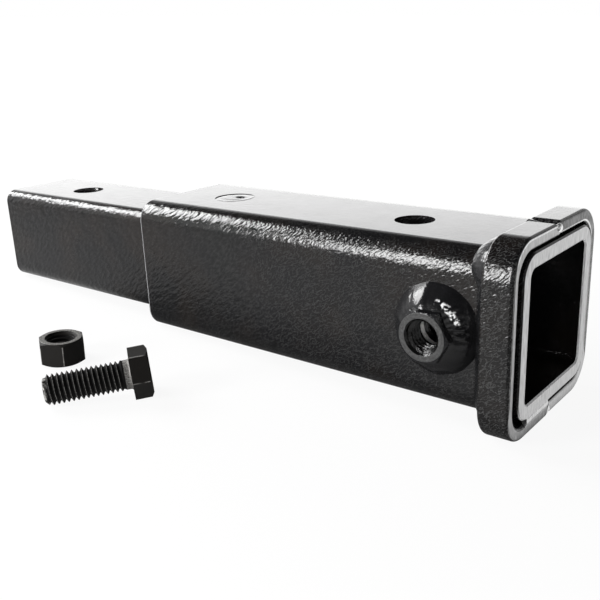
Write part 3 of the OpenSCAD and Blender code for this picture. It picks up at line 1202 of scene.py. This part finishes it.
@dataclass(frozen=True)
class Collar:
    """The bent bars round the mouth, and the welds that hold them."""

    weld_leg: float = 7 * MM
    weld_rise: float = 4.3 * MM
    near_share: float = 0.6
    bare_depth: float = 0.45 * MM
    near_brim: float = 2.3 * MM
    far_brim: float = 1.5 * MM
    seam_steps: int = 10
    seam_run_steps: int = 60
    ripple_pitch: float = 1.6 * MM
    ripple_depth: float = 0.12 * MM
    front_dip: float = 0.3 * MM
    bottom_bare: float = 0.6 * MM
    top_bare: float = 1.7 * MM
    seam_crown: float = 0.25 * MM
    rear_lift: float = 1.2 * MM
    drop_r: float = 1.75 * MM
    drop_shape: Colour = (0.7, 1.3, 1.05)

    def build(self) -> None:
        """Dresses the halves and makes their welds."""
        inside = SIZES.receiver_half + SIZES.collar_gap
        edge, thick = SIZES.collar_edge, SIZES.collar_thickness
        # Each half's steel is lighter or darker with height as painted light and shade, with a painted
        # highlight line along the top of the near half's outer edge and of the far half's inner edge.
        near = GroundFace(SIZES.collar_front, inside, SIZES.receiver_corner, drop=SIZES.near_drop,
                          from_height=(edge - 0.2 * MM,) * 3,
                          to_height=(thick - 0.6 * MM, 3.2 * MM, thick - 0.7 * MM),
                          highlight_height=thick - 1.05 * MM, highlight_half=0.28 * MM, depth=self.bare_depth,
                          painted_light_stops=((0, 0.2), (0.06, 0.28), (0.2, 0.35), (0.5, 0.47), (0.75, 0.51), (1, 0.5)))
        far = GroundFace(SIZES.collar_front, inside, SIZES.receiver_corner, drop=SIZES.far_drop,
                         from_height=(0.4 * MM, 1 * MM, 0.4 * MM),
                         to_height=(thick - 0.6 * MM, 1.6 * MM, thick - 0.35 * MM),
                         highlight_height=0.9 * MM, highlight_half=0.3 * MM, depth=self.bare_depth,
                         painted_light_stops=((0, 0.55), (0.2, 0.55), (0.6, 0.66), (0.8, 0.50), (0.93, 0.10), (1, 0.10)))
        for side, front in (("near", near), ("far", far)):
            top_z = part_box(f"collar_{side}_half")[1].z
            paint = PowderCoat(f"collar_{side}_paint", sheen_shade=0.05, top_z=top_z, ground=front)
            dress(f"collar_{side}_half", paint.build())
        self.rear_weld()
        self.stitch()
        bottom = WeldPaint("bottom_seam_paint", bare_from=SIZES.collar_front - self.bottom_bare)
        dress("collar_seam_weld_bottom", bottom.build())
        self.top_seam(WeldPaint("top_seam_paint", bare_from=SIZES.collar_front - self.top_bare).build())

    def rear_weld(self) -> None:
        """Makes the weld behind the collar."""
        path = SquarePath(SIZES.receiver_half, SIZES.receiver_corner)
        ripple = Ripple(depth=0.02, wander=0.05, seed=8)
        bead = Bead(path, SIZES.collar_back, self.weld_leg, self.weld_rise, ripple, self.slimmer)
        bead.build("collar_rear_bead", WeldPaint("collar_weld_paint").build(), "collar_rear_weld")

    def stitch(self) -> None:
        """Dresses the short front weld, bare in front, with a bright band along its foot painted as a
        highlight.
        """
        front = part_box("collar_front_stitch_weld")[1].x
        # The bright band at the foot is a painted highlight.
        bare = GroundFace(front, SIZES.receiver_half, SIZES.receiver_corner,
                          from_height=(-1 * MM,) * 3, to_height=(4 * MM,) * 3, depth=4 * MM,
                          highlight_height=0, highlight_half=0,
                          painted_light_stops=((0, 0.75), (0.085, 0.75), (0.095, 0.2), (1, 0.2)))
        dress("collar_front_stitch_weld", PowderCoat("stitch_paint", ground=bare).build())

    def slimmer(self, y: float, z: float) -> float:
        """Thins the rear weld on the near side.

        Args:
            y: The place's y.
            z: The place's z.

        Returns:
            The share of the full leg that the weld has there.
        """
        top = smooth_step((z - 18 * MM) / (8 * MM))
        far = smooth_step((y + 15 * MM) / (15 * MM))
        return self.near_share + (1 - self.near_share) * max(top, far)

    def top_seam(self, paint: bpy.types.Material) -> None:
        """Fills the top groove from the near half's brim down to the far half's bevel.

        Args:
            paint: Its finish.
        """
        back, front = SIZES.collar_back, SIZES.collar_front
        near_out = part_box("collar_near_half")[1].z
        near_foot = near_out - SIZES.groove_depth
        far_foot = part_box("collar_far_half")[1].z - SIZES.groove_depth
        slope = SIZES.groove_depth / (SIZES.seam_width / 2)
        near_y, far_y = self.near_brim, self.far_brim
        near_z = near_foot + near_y * slope
        far_z = far_foot + far_y * slope
        points = [Vector((back, 0, near_foot)), Vector((back, 0, far_foot))]
        for i in range(self.seam_steps + 1):
            t = i / self.seam_steps
            lift = self.seam_crown * 4 * t * (1 - t)
            points.append(Vector((back, far_y - t * (far_y + near_y), far_z + t * (near_z - far_z) + lift)))
        bm = bmesh.new()
        line = polyline(bm, points, closed=True)
        bmesh.ops.edgeloop_fill(bm, edges=edges_of(line))
        run = bmesh.ops.spin(bm, geom=line, cent=(0, 0, 0), axis=(1, 0, 0), angle=0,
                             dvec=((front - back) / self.seam_run_steps, 0, 0), steps=self.seam_run_steps)
        bmesh.ops.edgeloop_fill(bm, edges=edges_of(run["geom_last"]))
        for vert in bm.verts:
            if vert.co.z < far_foot + 0.5 * MM:
                continue
            share = (vert.co.x - back) / (front - back)
            bow = vert.co.x + abs(vert.co.y) * 0.6
            ripple = 0.5 + 0.5 * math.cos(math.tau * bow / self.ripple_pitch)
            vert.co.z -= self.ripple_depth * ripple ** 3 + self.front_dip * smooth_step((share - 0.75) / 0.25)
            across = max(0.0, (vert.co.y + near_y) / (near_y + far_y))
            vert.co.z += self.rear_lift * across * (1 - smooth_step(share / 0.6))
        drop = bmesh.new()
        bmesh.ops.create_icosphere(drop, subdivisions=4, radius=self.drop_r)
        bmesh.ops.scale(drop, vec=self.drop_shape, verts=drop.verts)
        centre = (front - 0.45 * MM, 0.2 * MM, near_out - self.drop_r * 1.15)
        bmesh.ops.translate(drop, vec=centre, verts=drop.verts)
        join(bm, drop)
        new_piece(bm, "collar_seam_top_bead", paint, Slot.WELD, "collar_seam_weld_top", sharp_angle=50)


@dataclass(frozen=True)
class Thread:
    """A screw thread about Z, outside a shaft or inside a bore."""

    crest_r: float
    root_r: float
    pitch: float
    steps: int = 72

    def sweep(
        self,
        bm: bmesh.types.BMesh,
        low: float,
        high: float,
        limit: Callable[[float, float], float],
    ) -> None:
        """Sweeps the thread between two heights, flattened at both so that it ends in plain rings.

        Args:
            bm: An empty shape, which takes the thread.
            low: Height of its lower end.
            high: Height of its upper end.
            limit: Gives the radius to use from a radius and a height.
        """
        turns = math.ceil((high - low) / self.pitch) + 2
        shape = [(0, self.root_r), (0.11, self.root_r), (0.455, self.crest_r), (0.545, self.crest_r),
                 (0.89, self.root_r), (1, self.root_r)]
        start = low - 1.5 * self.pitch
        line = polyline(bm, [Vector((r, 0, start + share * self.pitch)) for share, r in shape])
        bmesh.ops.spin(bm, geom=line, cent=(0, 0, 0), axis=(0, 0, 1), angle=math.tau * turns,
                       dvec=(0, 0, self.pitch / self.steps), steps=self.steps * turns)
        for vert in bm.verts:
            radius = vert.co.xy.length
            angle = math.atan2(vert.co.y, vert.co.x)
            height = max(low, min(high, vert.co.z))
            radius = limit(radius, height)
            vert.co = Vector((radius * math.cos(angle), radius * math.sin(angle), height))
        bmesh.ops.remove_doubles(bm, verts=bm.verts, dist=WELD_GAP)


@dataclass(frozen=True)
class HexNut:
    """A hexagon nut with its thread, over a packed plain one."""

    node: str
    frame: Matrix

    def shape(self) -> bmesh.types.BMesh:
        """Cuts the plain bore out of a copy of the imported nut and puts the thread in.

        Returns:
            The nut, in the row's frame.
        """
        bm = merged_copy(self.node, self.frame)
        mouth = SIZES.nut_mouth_r + 0.02 * MM
        inner = [face for face in bm.faces if all(vert.co.xy.length < mouth for vert in face.verts)]
        bmesh.ops.delete(bm, geom=inner, context="FACES")
        rims = [edge for edge in bm.edges if edge.is_boundary]
        for vert in {vert for edge in rims for vert in edge.verts}:
            vert.co.xy = vert.co.xy.normalized() * (SIZES.nut_mouth_r + 0.1 * MM)
        top = SIZES.nut_height

        def limit(radius: float, height: float) -> float:
            """Opens the bore into the countersink at each face."""
            return max(radius, SIZES.nut_mouth_r - min(height, top - height))

        part = bmesh.new()
        thread = Thread(SIZES.nut_bore_r, SIZES.thread_d / 2 + 0.05 * MM, SIZES.thread_pitch)
        thread.sweep(part, 0, top, limit)
        join(bm, part)
        for height in (0, top):
            bmesh.ops.bridge_loops(bm, edges=open_ring(bm, height))
        bmesh.ops.transform(bm, matrix=self.frame, verts=bm.verts)
        return bm


@dataclass(frozen=True)
class SideNut:
    """The nut welded to the near side, and its weld."""

    weld_leg: float = 7 * MM
    weld_steps: int = 240

    def build(self) -> None:
        """Makes the nut and its weld."""
        paint = NutPaint("side_nut_paint", SIZES.side_nut_frame).build()
        nut = HexNut("anti_rattle_nut", SIZES.side_nut_frame).shape()
        new_piece(nut, "anti_rattle_nut_threaded", paint, Slot.PAINT, "anti_rattle_nut", sharp_angle=24)
        self.weld(WeldPaint("nut_weld_paint", beads=SIZES.side_nut_frame).build())

    def weld(self, paint: bpy.types.Material) -> None:
        """Makes the mound of weld round the nut.

        Args:
            paint: Its finish.
        """
        root = SIZES.hex_corner
        brow = SIZES.hex_flats / 2 - 1 * MM
        brow_height = self.weld_leg + (root - brow) / 2
        points = [Vector((brow, 0, 0))]
        points += [Vector((root + p.x, 0, p.y)) for p in crown(self.weld_leg, self.weld_leg, 12)]
        points.append(Vector((brow, 0, brow_height)))
        bm = bmesh.new()
        revolve(bm, points + points[:1], self.weld_steps)
        ripple = Ripple(pitch=3.1 * MM, depth=0.012, wander=0.11, wander_size=5 * MM, seed=21)
        beads = Ripple(pitch=2.3 * MM, depth=0.22, wander=0.05, seed=4)
        for vert in bm.verts:
            out = vert.co.xy.length - root
            if out < 0:
                continue
            across = math.atan2(vert.co.z, out) / (math.tau / 4)
            along = math.atan2(vert.co.y, vert.co.x) * root
            grow = ripple.swell(along, across)
            angle = math.degrees(math.atan2(vert.co.y, vert.co.x))
            beaded = smooth_step((angle + 5) / 12) * smooth_step((62 - angle) / 12)
            beaded *= smooth_step((across - 0.45) / 0.2)
            grow += beaded * beads.swell(along, across) - beaded
            vert.co.xy = vert.co.xy.normalized() * (root + out * grow)
            vert.co.z *= grow
        bmesh.ops.transform(bm, matrix=SIZES.side_nut_frame, verts=bm.verts)
        new_piece(bm, "nut_weld_bead", paint, Slot.WELD, "nut_weld")


@dataclass(frozen=True)
class LooseHardware:
    """The bolt and the lock nut that lie beside the extender."""

    def build(self) -> None:
        """Makes both."""
        nut_finish = BlackOxide("lock_nut_oxide", SIZES.lock_nut_frame, SIZES.hex_corner, 0,
                                SIZES.nut_height).build()
        nut = HexNut("lock_nut", SIZES.lock_nut_frame).shape()
        nut_piece = new_piece(nut, "lock_nut_threaded", nut_finish, Slot.OXIDE, "lock_nut",
                              sharp_angle=24)
        bolt_finish = BlackOxide("bolt_oxide", SIZES.bolt_frame, SIZES.hex_corner, -SIZES.head_height, 0,
                                 crest_r=SIZES.thread_d / 2).build()
        bolt_piece = new_piece(self.bolt(), "anti_rattle_bolt_threaded", bolt_finish, Slot.OXIDE,
                               "anti_rattle_bolt", sharp_angle=28)
        # They were photographed apart, so the extender's side doesn't mirror them.
        for piece in (nut_piece, bolt_piece):
            piece.visible_glossy = False

    def bolt(self) -> bmesh.types.BMesh:
        """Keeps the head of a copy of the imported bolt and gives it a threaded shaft.

        Returns:
            The bolt, in the row's frame.
        """
        bm = merged_copy("anti_rattle_bolt", SIZES.bolt_frame)
        shaft = [face for face in bm.faces if all(vert.co.z > -NEARLY for vert in face.verts)
                 and any(vert.co.z > NEARLY for vert in face.verts)]
        bmesh.ops.delete(bm, geom=shaft, context="FACES")
        neck_r = SIZES.thread_d / 2 - SIZES.neck_relief / 2
        length = SIZES.bolt_length

        def limit(radius: float, height: float) -> float:
            """Runs the thread out at the neck and turns it down at the tip."""
            runout = min(1.0, (height - SIZES.bolt_neck) / SIZES.thread_pitch)
            eased = neck_r + (radius - neck_r) * runout
            tip = SIZES.thread_d / 2 - SIZES.tip_bevel + (length - height)
            return min(eased, tip)

        part = bmesh.new()
        root_r = SIZES.thread_d / 2 - THREAD_DEPTH * SIZES.thread_pitch
        thread = Thread(SIZES.thread_d / 2, root_r, SIZES.thread_pitch)
        thread.sweep(part, SIZES.bolt_neck, length, limit)
        bmesh.ops.contextual_create(part, geom=open_ring(part, length))
        fillet = [(neck_r + SIZES.head_fillet * (1 - math.sin(a)), SIZES.head_fillet * (1 - math.cos(a)))
                  for a in (math.radians(d) for d in range(0, 91, 15))]
        revolve(part, [Vector((r, 0, z)) for r, z in fillet + [(neck_r, SIZES.bolt_neck)]], 72)
        join(bm, part)
        bmesh.ops.bridge_loops(bm, edges=open_ring(bm, 0))
        bmesh.ops.transform(bm, matrix=SIZES.bolt_frame, verts=bm.verts)
        return bm


# Studio


@dataclass(frozen=True)
class Softbox:
    """A rectangular studio lamp."""

    name: str
    place: Colour
    aim: Colour
    width: float
    height: float
    brightness: float

    def build(self) -> None:
        """Hangs the lamp."""
        data = bpy.data.lights.new(self.name, "AREA")
        data.shape = "RECTANGLE"
        data.size, data.size_y = self.width, self.height
        data.energy = self.brightness * math.pi * self.width * self.height
        lamp = add_object(self.name, data)
        lamp.visible_camera = False
        lamp.location = self.place
        lamp.rotation_euler = (Vector(self.place) - Vector(self.aim)).to_track_quat("Z", "Y").to_euler()


@dataclass(frozen=True)
class Studio:
    """The camera, the floor, the lamps and the white surroundings."""

    camera_place: Colour = (0.165427, -0.277683, 0.105595)
    camera_azimuth: float = 39.3594
    camera_elevation: float = 18.4001
    camera_roll: float = -2.3990
    lens: float = 47.985
    floor_size: float = 30.0
    shadow_share: float = 0.10
    shadow_reach: float = 0.25
    pool_level: float = 0.60
    pool_far_level: float = 0.35
    pool_least: float = 0.12
    softboxes: tuple[Softbox, ...] = (
        Softbox("back_softbox", (-0.86, 0.95, 0.22), (-0.09, 0, 0), 1.5, 0.5, 1.5),
        Softbox("left_softbox", (-0.91, -0.176, 0.632), (-0.12, -0.03, 0.03), 0.64, 0.42, 13.0),
        Softbox("front_softbox", (-0.45, -0.87, 0.27), (0.02, -0.03, 0.03), 0.30, 0.50, 20.0),
    )

    def build(self) -> None:
        """Sets the whole stage."""
        self.camera()
        self.floor()
        self.surroundings()
        for softbox in self.softboxes:
            softbox.build()
        bpy.context.scene.view_settings.view_transform = "Standard"

    def camera(self) -> None:
        """Puts the camera where the photograph was taken from."""
        azimuth, elevation = math.radians(self.camera_azimuth), math.radians(self.camera_elevation)
        back = Vector((math.sin(azimuth) * math.cos(elevation), -math.cos(azimuth) * math.cos(elevation),
                       math.sin(elevation)))
        data = bpy.data.cameras.new("camera")
        data.lens = self.lens
        data.clip_start, data.clip_end = 0.01, 100
        camera = add_object("camera", data)
        level = back.to_track_quat("Z", "Y").to_matrix().to_4x4()
        camera.matrix_world = (Matrix.Translation(self.camera_place) @ level
                               @ Matrix.Rotation(math.radians(self.camera_roll), 4, "Z"))
        bpy.context.scene.camera = camera

    def floor(self) -> None:
        """Lays the pale floor, on which the camera sees the shadow on white.

        Glossy rays see a painted pool of light on it instead: painted shadow next to the extender,
        dimmer far off, and bright before the mouth.
        """
        bm = bmesh.new()
        bmesh.ops.create_grid(bm, x_segments=1, y_segments=1, size=self.floor_size / 2)
        bmesh.ops.transform(bm, matrix=SIZES.floor, verts=bm.verts)
        mesh = bpy.data.meshes.new("floor")
        bm.to_mesh(mesh)
        bm.free()
        floor = add_object("floor", mesh)
        material, graph = new_graph("white_floor")
        ray = graph.node("ShaderNodeLightPath")
        mirrored = ray.out("Is Transmission Ray").most(ray.out("Is Glossy Ray"))
        x, y, _ = graph.split(graph.place())
        across = ((x + 0.1).size() - 0.16).most(0.0)
        beside = (y.size() - 0.035).most(0.0)
        near = across.span(beside).rise(self.shadow_reach, 0.02)
        # A painted pool of light and shadow for glossy rays: dark next to the extender, dimmer far off,
        # bright before the mouth.
        out = (y * -1 - 0.035).most(x * -1 - 0.135)
        beyond = out.rise(0.2, 0.5) * (self.pool_level - self.pool_far_level)
        pool = (out + x.rise(-0.04, 0.03) * 0.025).rise(0.004, 0.075) * (self.pool_level - beyond)
        pool = pool * (1 - x.rise(0.05, 0.12) * (y * -1).rise(0.05, 0.1) * 0.9)
        before_mouth = x.rise(0.059, 0.065) * (y + 0.03 - (x - 0.06) * 0.9).rise(-0.012, 0.0)
        pool = pool.most(before_mouth).most(self.pool_least)
        level = mirrored * (pool - 1.02) + 1.02
        share = near * (1 - mirrored) * self.shadow_share
        paper = graph.node("ShaderNodeBsdfDiffuse", inputs={"Color": (0.82, 0.82, 0.82, 1)})
        white = graph.node("ShaderNodeEmission", inputs={"Strength": level})
        seen = ray.out("Is Camera Ray").most(mirrored)
        mix = graph.node("ShaderNodeMixShader", inputs={0: seen * (1 - share), 1: paper, 2: white})
        graph.node("ShaderNodeOutputMaterial", inputs={"Surface": mix})
        mesh.materials.append(material)

    def surroundings(self) -> None:
        """White behind the extender, dim overhead."""
        world = bpy.data.worlds.new("surroundings")
        bpy.context.scene.world = world
        world.use_nodes = True
        graph = Graph(world.node_tree)
        right, _, up = graph.split(graph.node("ShaderNodeTexCoord").out("Generated"))
        ray = graph.node("ShaderNodeLightPath")
        mirrored = ray.out("Is Glossy Ray").most(ray.out("Is Transmission Ray"))
        wall = up.rise(0.62, 0.35) * (1 - mirrored * right.rise(0.1, 0.4) * up.rise(0.08, 0.2) * 0.7)
        shown = mirrored * 0.2 + 0.6
        strength = ray.out("Is Camera Ray").most(wall * shown + 0.015)
        white = graph.node("ShaderNodeBackground", inputs={"Color": (1, 1, 1, 1), "Strength": strength})
        graph.node("ShaderNodeOutputWorld", inputs={"Surface": white})


def main() -> None:
    """Builds the extender's looks and its stage."""
    Studio().build()
    for assembly in (Tubes(), Collar(), SideNut(), LooseHardware()):
        assembly.build()


if __name__ == "__main__":
    logging.basicConfig(level=logging.INFO)
    main()
